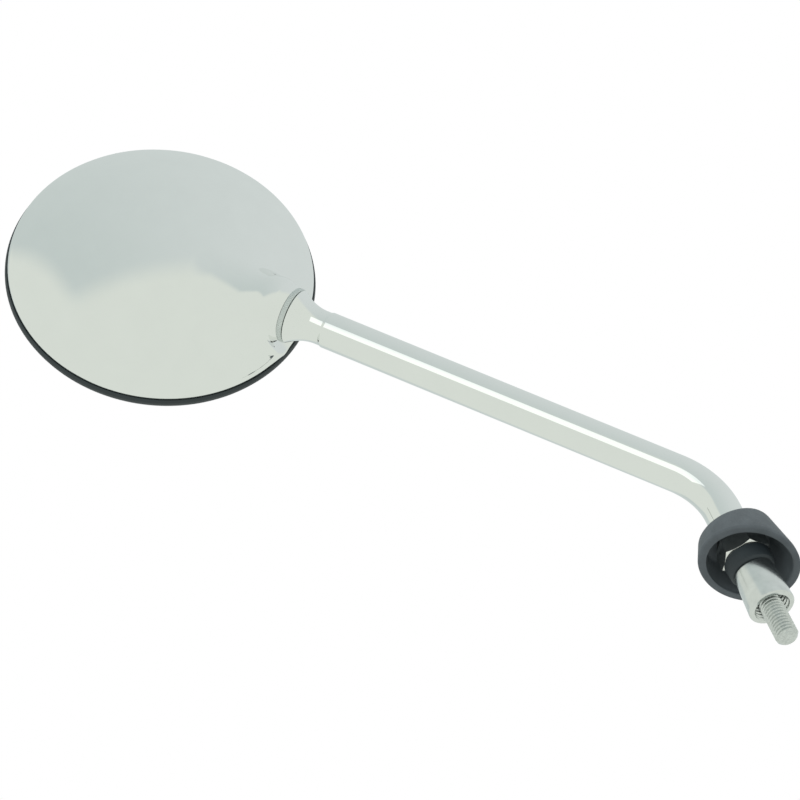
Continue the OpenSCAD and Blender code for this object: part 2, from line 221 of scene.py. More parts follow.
def new_object(name, mesh):
    """An object for a mesh, in the scene."""
    piece = bpy.data.objects.new(name, mesh)
    bpy.context.scene.collection.objects.link(piece)
    return piece


def grid_piece(name, rows, material, closed=True, sharp=35.0, directions=None):
    """A piece from rows of points that each run once around it, the last row joined to the first if closed.

    directions gives the surface's own direction at each point, where it's known exactly."""
    rows = np.asarray(rows)
    count, around = rows.shape[:2]
    index = np.arange(count * around).reshape(count, around)
    below = index if closed else index[:-1]
    above = np.roll(index, -1, axis=0) if closed else index[1:]
    faces = np.stack([below, np.roll(below, -1, axis=1), np.roll(above, -1, axis=1), above], axis=-1)
    mesh = bpy.data.meshes.new(name)
    mesh.from_pydata(rows.reshape(-1, 3).tolist(), [], faces.reshape(-1, 4).tolist())
    mesh.validate()
    mesh.shade_smooth()
    mesh.set_sharp_from_angle(angle=math.radians(sharp))
    if directions is not None:
        loops = np.empty(len(mesh.loops), dtype=np.int32)
        mesh.loops.foreach_get("vertex_index", loops)
        mesh.normals_split_custom_set(directions.reshape(-1, 3)[loops].tolist())
    mesh.materials.append(material)
    return new_object(name, mesh)


def clean(piece):
    """Joins the points that meet on an axis, and turns the faces outwards."""
    work = bmesh.new()
    work.from_mesh(piece.data)
    bmesh.ops.remove_doubles(work, verts=work.verts, dist=1e-7)
    bmesh.ops.dissolve_degenerate(work, edges=work.edges, dist=1e-8)
    bmesh.ops.recalc_face_normals(work, faces=work.faces)
    work.to_mesh(piece.data)
    work.free()
    return piece


def rounded(profile, steps=5):
    """A closed profile of (radius, height, fillet) with its corners rounded."""
    result = []
    for i, (r, z, fillet) in enumerate(profile):
        here = np.array([r, z])
        if not fillet:
            result.append(here)
            continue
        before = np.array(profile[i - 1][:2]) - here
        after = np.array(profile[(i + 1) % len(profile)][:2]) - here
        reach_before, reach_after = np.linalg.norm(before), np.linalg.norm(after)
        bend_half = math.acos(np.clip(before @ after / (reach_before * reach_after), -1, 1)) / 2
        back = min(fillet / math.tan(bend_half), 0.48 * reach_before, 0.48 * reach_after)
        start, end = here + before / reach_before * back, here + after / reach_after * back
        for t in np.linspace(0, 1, steps + 1):
            result.append(start * (1 - t) ** 2 + here * 2 * t * (1 - t) + end * t ** 2)
    return np.array(result)


def turned(name, profile, material, place=Matrix(), around=160, sharp=35.0, shape=None):
    """A turned piece from a closed profile of (radius, height, fillet), with its points moved by shape."""
    outline = rounded(profile)
    turn = np.linspace(0, 2 * math.pi, around, endpoint=False)
    rows = np.stack([np.outer(outline[:, 0], np.cos(turn)), np.outer(outline[:, 0], np.sin(turn)),
                     np.repeat(outline[:, 1:2], around, axis=1)], axis=-1)
    if shape:
        rows = shape(rows)
    return clean(grid_piece(name, put(rows, place), material, sharp=sharp))


def finish_piece(piece, body, node):
    """Fixes a piece to its body, in place of its plain solid."""
    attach(piece, body)
    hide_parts(node)


# Places


def arm_place(distance, stem):
    """The place on the arm's axis at a distance from the crossing of the axes, +Z along the arm."""
    along = Vector((math.sin(stem.bend), 0, math.cos(stem.bend)))
    place = Vector((0, 0, stem.corner)) + along * distance
    return Matrix.Translation(place) @ Matrix.Rotation(stem.bend, 4, "Y")


def ball_place(sizes):
    """The ball's middle, +Z along the arm towards the bell."""
    return arm_place(sizes.joint.ball_distance, sizes.stem) @ Matrix.Rotation(math.pi, 4, "X")


def head_place(sizes):
    """The head's middle: +X towards the seat, +Z out through the dome."""
    stem, head = sizes.stem, sizes.head
    seat = Vector((head.head / 2 - head.ball_inset, 0, head.ball_height))
    return (arm_place(sizes.joint.ball_distance, stem)
            @ Matrix.Rotation(-stem.bend, 4, "Y") @ Matrix.Rotation(-head.tip, 4, "X")
            @ Matrix.Rotation(math.pi / 2 + stem.bend, 4, "Y") @ Matrix.Rotation(-math.pi / 2, 4, "X")
            @ Matrix.Translation(-seat))


# Materials


def add_node(tree, kind, settings=None, inputs=None):
    """Adds a node, with its settings, and its inputs as values or as (node, output) to link."""
    node = tree.nodes.new(kind)
    for key, value in (settings or {}).items():
        setattr(node, key, value)
    for key, value in (inputs or {}).items():
        if isinstance(value, tuple) and isinstance(value[0], bpy.types.Node):
            tree.links.new(value[0].outputs[value[1]], node.inputs[key])
        else:
            node.inputs[key].default_value = value
    return node


def new_material(name):
    """A material with an empty node tree, its surface shader and its output."""
    material = bpy.data.materials.new(name)
    material.use_nodes = True
    tree = material.node_tree
    tree.nodes.clear()
    shader = add_node(tree, "ShaderNodeBsdfPrincipled")
    add_node(tree, "ShaderNodeOutputMaterial", inputs={"Surface": (shader, "BSDF")})
    return material, tree, shader


def per_metre(size_mm):
    """How many features of a size in millimetres make a metre, the scale of a pattern."""
    return 1 / (size_mm * MM)


def noise(tree, position, size_mm, detail=3.0, stretch=(1, 1, 1)):
    """Noise with features of a size in millimetres, stretched along the axes."""
    mapping = add_node(tree, "ShaderNodeMapping", inputs={"Vector": (position, "Object"), "Scale": stretch})
    return add_node(tree, "ShaderNodeTexNoise", inputs={"Vector": (mapping, "Vector"), "Detail": detail,
                                                        "Scale": per_metre(size_mm)})


def spread(tree, source, low, high, output="Fac"):
    """A pattern's value brought between a low and a high value."""
    return add_node(tree, "ShaderNodeMapRange", inputs={"Value": (source, output), "From Min": 0.3,
                                                        "From Max": 0.7, "To Min": low, "To Max": high})


def two_tones(tree, source, first, second, output="Fac"):
    """A colour between two tones, driven by a pattern."""
    mix = add_node(tree, "ShaderNodeMix", {"data_type": "RGBA"})
    tree.links.new(spread(tree, source, 0.0, 1.0, output).outputs["Result"], mix.inputs["Factor"])
    mix.inputs["A"].default_value = (*first, 1)
    mix.inputs["B"].default_value = (*second, 1)
    return mix


def shade(tone, factor):
    """A colour made lighter or darker by a factor."""
    return tuple(min(1.0, c * factor) for c in tone)


def link_bump(tree, shader, source, height_mm, strength, output="Fac"):
    """Bump of a height in millimetres on the shader, from a pattern."""
    bump = add_node(tree, "ShaderNodeBump", inputs={"Strength": strength, "Distance": height_mm * MM,
                                                    "Height": (source, output)})
    tree.links.new(bump.outputs["Normal"], shader.inputs["Normal"])


def surface(name, tone, tones, rough, clouds, grain=None, bump=None, metallic=1.0):
    """A finish: a range of tones spread by clouds, and a range of roughness and a bump from its grain.

    clouds and grain are sizes in millimetres with their detail, and bump is a height with its strength."""
    material, tree, shader = new_material(name)
    position = add_node(tree, "ShaderNodeTexCoord")
    cloud_noise = noise(tree, position, *clouds)
    grain_noise = noise(tree, position, *grain) if grain else cloud_noise
    shader.inputs["Metallic"].default_value = metallic
    first, second = (shade(tone, factor) for factor in tones)
    tree.links.new(two_tones(tree, cloud_noise, first, second).outputs["Result"], shader.inputs["Base Color"])
    tree.links.new(spread(tree, grain_noise, *rough).outputs["Result"], shader.inputs["Roughness"])
    if bump:
        link_bump(tree, shader, grain_noise, *bump)
    return material, shader


def polished_chrome(tone, name="polished_chrome_plate"):
    """Electroplated chrome over polished steel: a clear mirror, with faint handling smears."""
    return surface(name, tone, tones=(1, 0.985), rough=(0.035, 0.06), clouds=(9.0, 4.0))[0]


def satin_zinc(tone):
    """Bright zinc plate over a turned face: pale, with a soft gloss.

    Its turning marks are 0.15 mm apart, long around the axis and short along it."""
    return surface("satin_zinc_plate", tone, tones=(1, 0.9), rough=(0.13, 0.22), clouds=(3.0, 3.0),
                   grain=(3.0, 2.0, (0.2, 0.2, 20.0)), bump=(0.01, 0.3))[0]


def plated_thread(tone):
    """Zinc plate on a rolled thread: duller than the barrel, with darker clouds."""
    return surface("zinc_on_rolled_thread", tone, tones=(1, 0.8), rough=(0.14, 0.26), clouds=(0.8, 4.0),
                   bump=(0.01, 0.3))[0]


def bright_nickel(tone):
    """Nickel plate on a forged nut: nearly a mirror, slightly warm, with a faint grain."""
    return surface("bright_nickel_plate", tone, tones=(1, 0.93), rough=(0.12, 0.22), clouds=(1.2, 4.0),
                   bump=(0.01, 0.2))[0]


def moulded_rubber(name, tone, grain_mm, gloss):
    """Moulded rubber: matt, with a fine leathery grain and a slight grey bloom."""
    material, shader = surface(name, tone, tones=(0.86, 1.12), rough=(gloss, gloss + 0.14), clouds=(5.0, 5.0),
                               grain=(grain_mm, 3.0), bump=(0.03, 0.35), metallic=0.0)
    shader.inputs["IOR"].default_value = 1.52
    return material


def moulded_plastic(tone):
    """Moulded nylon: black with a satin skin and a spark-eroded grain."""
    material, shader = surface("moulded_black_nylon", tone, tones=(0.9, 1.08), rough=(0.4, 0.55),
                               clouds=(6.0, 3.0), grain=(0.35, 2.0), bump=(0.015, 0.25), metallic=0.0)
    shader.inputs["IOR"].default_value = 1.53
    return material


def silvered_glass(tone):
    """Float glass silvered on its back: a clean reflection under a hard polished coat."""
    material, shader = surface("silvered_convex_glass", tone, tones=(1, 0.98), rough=(0.015, 0.03),
                               clouds=(20.0, 2.0))
    shader.inputs["Coat Weight"].default_value = 1.0
    shader.inputs["Coat Roughness"].default_value = 0.01
    return material


def bare_metal(name, tone, grain_mm, roughness):
    """Turned or drawn steel under oil: grey, with a short grain."""
    return surface(name, tone, tones=(1, 0.82), rough=(roughness, roughness + 0.15), clouds=(grain_mm, 4.0),
                   bump=(0.01, 0.3))[0]


def closed_cell_foam(tone):
    """Foam rubber: dead matt, with cells about half a millimetre across."""
    material, tree, shader = new_material("closed_cell_foam")
    position = add_node(tree, "ShaderNodeTexCoord")
    cells = add_node(tree, "ShaderNodeTexVoronoi", inputs={"Vector": (position, "Object"),
                                                           "Scale": per_metre(0.5)})
    tree.links.new(two_tones(tree, cells, shade(tone, 0.7), shade(tone, 1.1), "Distance")
                   .outputs["Result"], shader.inputs["Base Color"])
    shader.inputs["Roughness"].default_value = 0.9
    link_bump(tree, shader, cells, 0.1, 0.5, "Distance")
    return material


# Pieces


def thread_depth(phase):
    """How deep a thread is at a phase from 0 to 1, from 0 at its crest to 1 at its root."""
    return np.clip(np.abs(2 * (phase % 1) - 1) * 1.3 - 0.12, 0, 1)


class STEM_MIRROR_OT_stud(Operator):
    """Threaded stud, with its thread cut as a helix."""
    bl_idname = "stem_mirror.stud"
    bl_label = "Threaded stud"

    def execute(self, context):
        sizes = context.scene.stem_mirror.foot
        around, per_turn, deep = 72, 18, 0.6 * sizes.pitch
        turn = np.linspace(0, 2 * math.pi, around, endpoint=False)
        bottom, top = -sizes.stud_out, sizes.bore_depth
        heights = np.linspace(bottom, top, int(per_turn * (top - bottom) / sizes.pitch))
        phase = heights[:, None] / sizes.pitch - turn[None, :] / (2 * math.pi)
        radius = sizes.stud / 2 - deep * thread_depth(phase)
        tip_flat = sizes.stud / 2 - 1.1 * MM
        chamfer = tip_flat + (heights - bottom)[:, None]
        radius = np.minimum(radius, np.broadcast_to(chamfer, radius.shape))
        heights = np.concatenate([[bottom, bottom], heights, [top, sizes.stud_top, sizes.stud_top]])
        shank = sizes.shank / 2
        ends = [np.zeros(around), np.full(around, tip_flat * 0.97)]
        tail = [np.full(around, shank), np.full(around, shank), np.zeros(around)]
        radius = np.vstack([ends, radius, tail])
        rows = np.stack([radius * np.cos(turn), radius * np.sin(turn),
                         np.repeat(heights[:, None], around, axis=1)], axis=-1)
        finish = plated_thread(context.scene.stem_mirror.finish.stud)
        piece = clean(grid_piece("threaded_stud", rows, finish, closed=False, sharp=60))
        finish_piece(piece, "mount", "stud")
        return {"FINISHED"}


class STEM_MIRROR_OT_foot(Operator):
    """Spacer barrel with its threaded counterbore, rubber bush and lock nut."""
    bl_idname = "stem_mirror.foot"
    bl_label = "Barrel, bush and lock nut"

    def execute(self, context):
        sizes, tones = context.scene.stem_mirror.foot, context.scene.stem_mirror.finish
        self.barrel(sizes, tones)
        low, top, hole = sizes.barrel_length, sizes.barrel_length + sizes.bush_length, sizes.hole / 2
        low_radius = (sizes.barrel_top + sizes.bush) / 4 + 0.2 * MM
        bush = turned("rubber_bush_moulding", [
            (hole, low, 0), (low_radius - 0.6 * MM, low, 0.5 * MM), (low_radius, low + 0.8 * MM, 0.6 * MM),
            (sizes.bush / 2, top - 0.5 * MM, 0.4 * MM), (sizes.bush / 2 - 0.5 * MM, top, 0.3 * MM),
            (hole, top, 0)], moulded_rubber("moulded_black_rubber", tones.bush, 0.5, 0.5))
        finish_piece(bush, "mount", "rubber_bush")
        self.nut(sizes, tones, top)
        return {"FINISHED"}

    def barrel(self, sizes, tones):
        """The barrel's outside is a taper, and its counterbore carries an inner thread."""
        low, top, end = sizes.barrel_low / 2, sizes.barrel_top / 2, sizes.barrel_length
        bore, hole = sizes.bore / 2, sizes.hole / 2
        outside = rounded([(bore + 0.5 * MM, 0, 0.1 * MM), (low, 0, 1.0 * MM), (top, end, 0.8 * MM),
                           (hole, end, 0), (hole, sizes.bore_depth, 0), (bore, sizes.bore_depth, 0)])
        around = 144
        turn = np.linspace(0, 2 * math.pi, around, endpoint=False)
        heights = np.linspace(sizes.bore_depth - 0.3 * MM, 0.45 * MM, 110)
        phase = heights[:, None] / sizes.bore_pitch - turn[None, :] / (2 * math.pi)
        groove = bore + 0.55 * MM * thread_depth(phase)
        radius = np.vstack([np.repeat(outside[:, :1], around, axis=1), groove])
        heights = np.concatenate([outside[:, 1], heights])
        rows = np.stack([radius * np.cos(turn), radius * np.sin(turn),
                         np.repeat(heights[:, None], around, axis=1)], axis=-1)
        barrel = clean(grid_piece("spacer_barrel", rows, satin_zinc(tones.zinc), sharp=50))
        finish_piece(barrel, "mount", "barrel")

    def nut(self, sizes, tones, low):
        """A hexagon nut whose chamfers cut curves into its flats."""
        flat, corners, each = sizes.nut_flats / 2, 6, 24
        turn = np.linspace(0, 2 * math.pi, corners * each, endpoint=False)
        reach = flat / np.cos((turn + math.pi / 6) % (math.pi / 3) - math.pi / 6)
        land, slope, height = flat * 0.985, math.tan(math.radians(30)), sizes.nut_height
        drop = (reach - land) * slope
        hole = np.full_like(turn, sizes.hole / 2)
        mouth = hole + 0.5 * MM
        heights = [0.5 * MM + 0 * drop, 0 * drop, 0 * drop, drop, height - drop, height + 0 * drop,
                   height + 0 * drop, height - 0.5 * MM + 0 * drop]
        radii = [hole, mouth, land + 0 * drop, reach, reach, land + 0 * drop, mouth, hole]
        rows = np.stack([np.array(radii) * np.cos(turn), np.array(radii) * np.sin(turn),
                         np.array(heights) + low], axis=-1)
        nut = clean(grid_piece("lock_nut_forging", rows, bright_nickel(tones.nickel), sharp=20))
        bevel = nut.modifiers.new("worn_edges", "BEVEL")
        bevel.width, bevel.segments, bevel.limit_method = 0.12 * MM, 2, "ANGLE"
        bevel.angle_limit, bevel.harden_normals = math.radians(20), True
        finish_piece(nut, "mount", "lock_nut")


class STEM_MIRROR_OT_boot(Operator):
    """Rubber boot that slides up the stem over the lock nut."""
    bl_idname = "stem_mirror.boot"
    bl_label = "Rubber boot"

    def execute(self, context):
        sizes, tones = context.scene.stem_mirror.foot, context.scene.stem_mirror.finish
        rim, back, deep = sizes.boot_rim / 2, sizes.boot_back / 2, sizes.boot_length
        floor = deep - sizes.boot_floor
        inside, inside_back = rim - sizes.boot_wall, back - sizes.boot_wall + 0.8 * MM
        grip_out, grip_in = 6.75 * MM, 7.0 * MM
        rise, towards = math.tan(sizes.boot_slant), sizes.boot_slant_towards
        rise_x, rise_y = rise * math.cos(towards), rise * math.sin(towards)

        def slant(rows):
            """The skirt is longer on one side, so its rim lies in a slanted plane."""
            rim_plane = sizes.boot_rim_height + rise_x * rows[..., 0] + rise_y * rows[..., 1]
            share = rows[..., 2] / deep
            rows[..., 2] = rim_plane + (sizes.boot_back_height - rim_plane) * share
            return rows

        boot = turned("rubber_boot", [
            (inside, 0, 0.5 * MM), (rim, 0, 0.8 * MM), (rim, 1.2 * MM, 2 * MM), (back, deep, 2.6 * MM),
            (grip_out, deep, 0.3 * MM), (grip_in, floor, 0.3 * MM), (inside_back, floor, 1.4 * MM),
            (inside, 1.2 * MM, 2 * MM)],
            moulded_rubber("moulded_charcoal_rubber", tones.boot, 0.7, 0.55),
            around=192, sharp=60, shape=slant)
        finish_piece(boot, "boot", "boot")
        return {"FINISHED"}


class STEM_MIRROR_OT_stem(Operator):
    """Bent tube, with its bell mouth and neck."""
    bl_idname = "stem_mirror.stem"
    bl_label = "Stem tube"

    def execute(self, context):
        stem, tones = context.scene.stem_mirror.stem, context.scene.stem_mirror.finish
        leg = stem.bend_radius * math.tan(stem.bend / 2)
        bend_start = stem.corner - leg
        foot = bend_start - stem.foot_end
        curve = stem.bend_radius * stem.bend
        total = foot + curve + stem.arm - leg
        tube, bell, neck = stem.tube / 2, stem.bell / 2, stem.neck / 2
        inner, mouth = tube - stem.wall, stem.mouth / 2
        flare_start = total - stem.flare
        outside = [(0, inner + 0.3 * MM), (0, tube - 0.3 * MM), (0.3 * MM, tube)]
        outside += [(s, tube) for s in np.linspace(foot, foot + curve, 90)]
        step_start = flare_start - stem.neck_length - stem.neck_step
        for t in np.linspace(0, 1, 9):
            ease = t * t * (3 - 2 * t)
            outside.append((step_start + stem.neck_step * t, tube + (neck - tube) * ease))
        for t in np.linspace(0, 1, 60):
            outside.append((flare_start + (stem.flare - 0.25 * MM) * t, neck + (bell - neck) * t ** 2.1))
        lip = [(total - 0.1 * MM, bell - 0.02 * MM), (total - 0.02 * MM, bell - 0.1 * MM),
               (total, bell - 0.25 * MM), (total, mouth), (total - 0.4 * MM, mouth),
               (total - stem.mouth_depth, inner)]
        bore = [(s, inner) for s in np.linspace(foot + curve, foot, 60)] + [(0, inner)]
        path = np.array(outside + lip + bore)
        turn = np.linspace(0, 2 * math.pi, 128, endpoint=False)
        rows = np.stack([self.ring(s, r, turn, stem, bend_start, foot, curve) for s, r in path])
        piece = clean(grid_piece("stem_tube", rows, polished_chrome(tones.chrome), sharp=40))
        bpy.data.collections["shown_in_the_stem"].objects.link(piece)
        finish_piece(piece, "arm", "arm_tube")
        return {"FINISHED"}

    def ring(self, s, radius, turn, stem, bend_start, foot, curve):
        """The points of a ring around the tube's middle line, at a length from the foot."""
        lean = min(max((s - foot) / stem.bend_radius, 0), stem.bend)
        x = stem.bend_radius * (1 - math.cos(lean))
        z = bend_start + stem.bend_radius * math.sin(lean) + min(s - foot, 0)
        beyond = max(s - foot - curve, 0)
        middle = np.array([x + beyond * math.sin(lean), 0, z + beyond * math.cos(lean)])
        side = np.array([math.cos(lean), 0, -math.sin(lean)])
        across = np.array([0, 1, 0])
        return middle + radius * (np.outer(np.cos(turn), side) + np.outer(np.sin(turn), across))


class STEM_MIRROR_OT_ball_joint(Operator):
    """Knurled seat ring and tension spring."""
    bl_idname = "stem_mirror.ball_joint"
    bl_label = "Ball joint"

    def execute(self, context):
        sizes = context.scene.stem_mirror
        place = ball_place(sizes)
        self.ring(sizes.joint, sizes.finish, place)
        self.spring(sizes.joint, sizes.finish, place)
        return {"FINISHED"}

    def ring(self, sizes, tones, place):
        """The ring's edge is knurled straight, and its other side is a ball face."""
        each, knurl = 8, 0.16 * MM
        turn = np.linspace(0, 2 * math.pi, sizes.knurls * each, endpoint=False)
        ridge = knurl * (0.5 - 0.5 * np.cos(turn * sizes.knurls))
        outer, bore, face = sizes.ring / 2, sizes.ring_bore / 2, sizes.ring_face
        ball = sizes.ball / 2 + sizes.ring_gap
        edge = math.sqrt(ball ** 2 - (outer - 0.2 * MM) ** 2)
        profile = [(bore, face, 0), (outer - 0.4 * MM, face, 0), (outer - 0.1 * MM, face - 0.12 * MM, 0.5),
                   (outer, face - 0.4 * MM, 1), (outer, edge + 0.35 * MM, 1),
                   (outer - 0.08 * MM, edge + 0.12 * MM, 0.6), (outer - 0.2 * MM, edge, 0)]
        for r in np.linspace(outer - 0.2 * MM, bore, 10)[1:]:
            profile.append((r, math.sqrt(ball ** 2 - r ** 2), 0))
        rows = np.array([np.stack([(r - ridge * k) * np.cos(turn), (r - ridge * k) * np.sin(turn),
                                   np.full_like(turn, z)], axis=-1) for r, z, k in profile])
        piece = clean(grid_piece("knurled_ring", put(rows, place),
                                 bare_metal("knurled_zinc_plate", tones.knurl, 0.4, 0.28), sharp=50))
        finish_piece(piece, "ring", "seat_ring")

    def spring(self, sizes, tones, place):
        """A round wire wound as an even helix, with its two ends capped."""
        wire, coil = sizes.spring_wire / 2, (sizes.spring - sizes.spring_wire) / 2
        around, per_turn = 16, 48
        s = np.linspace(0, 1, sizes.spring_turns * per_turn)
        turn = 2 * math.pi * sizes.spring_turns * s
        low, rise = sizes.spring_end + wire, sizes.spring_length - 2 * wire
        middle = np.stack([coil * np.cos(turn), coil * np.sin(turn), low + rise * s], axis=-1)
        out = np.stack([np.cos(turn), np.sin(turn), 0 * turn], axis=-1)
        around_wire = np.linspace(0, 2 * math.pi, around, endpoint=False)
        rows = (middle[:, None, :] + wire * (np.cos(around_wire)[None, :, None] * out[:, None, :]
                + np.sin(around_wire)[None, :, None] * np.array([0, 0, 1])))
        rows = np.concatenate([np.repeat(middle[:1, None, :], around, axis=1), rows,
                               np.repeat(middle[-1:, None, :], around, axis=1)])
        piece = clean(grid_piece("coiled_spring", put(rows, place),
                                 bare_metal("oiled_spring_wire", tones.spring, 0.6, 0.35), closed=False))
        finish_piece(piece, "arm", "tension_spring")


class ShellSurface:
    """The shell's outside as a distance: below zero inside, zero on the surface, in the head's own axes."""

    def __init__(self, sizes):
        head, joint = sizes.head, sizes.joint
        self.rim = head.head / 2 - head.bezel_step
        self.low = head.bezel_show - head.bezel_lap
        self.shoulder = head.shoulder
        self.dome = head.dome
        self.shoulder_at = np.array([self.rim - head.shoulder, head.bezel_show + head.rim])
        self.dome_height = self.shoulder_at[1] - math.sqrt((head.dome - head.shoulder) ** 2
                                                           - self.shoulder_at[0] ** 2)
        self.lean = math.atan2(self.shoulder_at[1] - self.dome_height, self.shoulder_at[0])
        self.ball = joint.ball / 2
        self.seat = np.array([head.head / 2 - head.ball_inset, 0, head.ball_height])
        self.out = np.array([math.cos(head.seat_rise), 0, math.sin(head.seat_rise)])
        self.fairing = head.fairing
        self.tail = self.ball / math.cos(head.fairing_taper) - head.fairing * math.tan(head.fairing_taper)
        self.blend = head.fairing_blend
        self.pocket, self.pocket_floor = head.pocket, head.pocket_floor
        self.pocket_blend = head.pocket_blend
        self.hole = head.bolt_hole / 2

    def dome_distance(self, p):
        """Distance to the dome with its rounded shoulder and straight rim."""
        r, z = np.hypot(p[..., 0], p[..., 1]), p[..., 2]
        dr, dz = r - self.shoulder_at[0], z - self.shoulder_at[1]
        turn = np.arctan2(dz, dr)
        round_part = np.hypot(dr, dz) - self.shoulder
        cap = np.hypot(r, z - self.dome_height) - self.dome
        wall = r - self.rim
        over_dome = (turn > self.lean) | (turn < -math.pi / 2 - 0.3)
        return np.where(over_dome, cap, np.where(turn < 0, wall, round_part))

    def seat_distance(self, p):
        """Distance to the ball seat and the tapered fairing behind it."""
        q = p - self.seat
        back = -(q @ self.out)
        side = np.linalg.norm(q + back[..., None] * self.out, axis=-1)
        slope = (self.ball - self.tail) / self.fairing
        rise = math.sqrt(1 - slope ** 2)
        k = -slope * side + rise * back
        ball = np.hypot(side, back) - self.ball
        tail = np.hypot(side, back - self.fairing) - self.tail
        cone = side * rise + back * slope - self.ball
        return np.where(k < 0, ball, np.where(k > rise * self.fairing, tail, cone))

    def distance(self, p):
        """Distance to the whole outside: dome and fairing, less the ring's pocket, with the ball in it."""
        q = p - self.seat
        out = q @ self.out
        side = np.linalg.norm(q - out[..., None] * self.out, axis=-1)
        # The pocket's wall leans outwards, so that it meets the dome without a step.
        wall = (side - self.pocket - (out - self.pocket_floor)) / math.sqrt(2)
        pocket = np.maximum(wall, self.pocket_floor - out)
        body = -soft_max(-self.dome_distance(p), -self.seat_distance(p), self.blend)
        carved = soft_max(body, -pocket, self.pocket_blend)
        ball = np.linalg.norm(q, axis=-1) - self.ball
        return -soft_max(-carved, -ball, 0.3 * MM)

    def direction(self, p):
        """The surface's outward direction at points."""
        step = 2e-6
        parts = [self.distance(p + step * axis) - self.distance(p - step * axis) for axis in np.eye(3)]
        slope = np.stack(parts, axis=-1)
        return slope / np.linalg.norm(slope, axis=-1, keepdims=True)


def soft_max(a, b, softness):
    """The larger of two distances, with the crease between them rounded."""
    h = np.clip(0.5 + 0.5 * (a - b) / softness, 0, 1)
    return b + (a - b) * h + softness * h * (1 - h)


class STEM_MIRROR_OT_shell(Operator):
    """Pressed steel shell: a dome with the ball seat's fairing drawn smoothly out of it."""
    bl_idname = "stem_mirror.shell"
    bl_label = "Chromed shell"

    def execute(self, context):
        sizes = context.scene.stem_mirror
        surface = ShellSurface(sizes)
        outside = self.surface_rows(surface)
        facing = surface.direction(outside)
        inside = outside - sizes.head.shell_wall * facing
        inside[-1, :, 2] = outside[-1, :, 2]
        place = head_place(sizes)
        rows = np.concatenate([outside, inside[::-1]])[:, ::-1]
        directions = np.concatenate([facing, -facing[::-1]])[:, ::-1] @ np.array(place)[:3, :3].T
        finish = polished_chrome(sizes.finish.chrome, "chromed_sheet")
        piece = grid_piece("chromed_shell", put(rows, place), finish, sharp=180, directions=directions)
        finish_piece(piece, "head", "shell")
        return {"FINISHED"}

    def surface_rows(self, surface, around=288, count=150):
        """Rows of points on the outside, from the bolt's hole out to the rim.

        Each point lies where a line from a point under the dome leaves the surface."""
        eye = np.array([30, 0, -8]) * MM
        turn = np.linspace(0, 2 * math.pi, around, endpoint=False)
        across = np.cross(surface.out, [0, 1, 0])
        reach = math.sqrt(surface.ball ** 2 - surface.hole ** 2)
        hole = (surface.seat + reach * surface.out + surface.hole * (np.outer(np.cos(turn), [0, 1, 0])
                + np.outer(np.sin(turn), across)))
        fine = np.linspace(0, 2 * math.pi, 4000, endpoint=False)
        rim = np.stack([surface.rim * np.cos(fine), surface.rim * np.sin(fine),
                        np.full_like(fine, surface.low)], axis=-1)
        hole_flat, rim_flat = flatten(hole - eye), flatten(rim - eye)
        middle = hole_flat.mean(axis=0)
        rim_turn = np.arctan2(*(rim_flat - middle).T[::-1])
        order = np.argsort(rim_turn)
        rim_reach = np.linalg.norm(rim_flat - middle, axis=1)
        start_turn = np.arctan2(*(hole_flat - middle).T[::-1])
        reach = np.interp(start_turn, rim_turn[order], rim_reach[order], period=2 * math.pi)
        end = middle + reach[:, None] * np.stack([np.cos(start_turn), np.sin(start_turn)], axis=-1)
        ease = np.linspace(0, 1, count)[:, None, None] ** 1.2
        flat = hole_flat + (end - hole_flat) * ease
        lines = unflatten(flat)
        near, far = np.zeros(flat.shape[:2]), np.full(flat.shape[:2], 0.15)
        for _ in range(34):
            half = (near + far) / 2
            within = surface.distance(eye + half[..., None] * lines) < 0
            near, far = np.where(within, half, near), np.where(within, far, half)
        return eye + near[..., None] * lines


def flatten(directions):
    """Directions as points of a flat map around straight up."""
    unit = directions / np.linalg.norm(directions, axis=-1, keepdims=True)
    return unit[..., :2] / (1 + unit[..., 2:])


def unflatten(points):
    """Points of that flat map as directions."""
    square = (points ** 2).sum(axis=-1, keepdims=True)
    return np.concatenate([2 * points, 1 - square], axis=-1) / (1 + square)


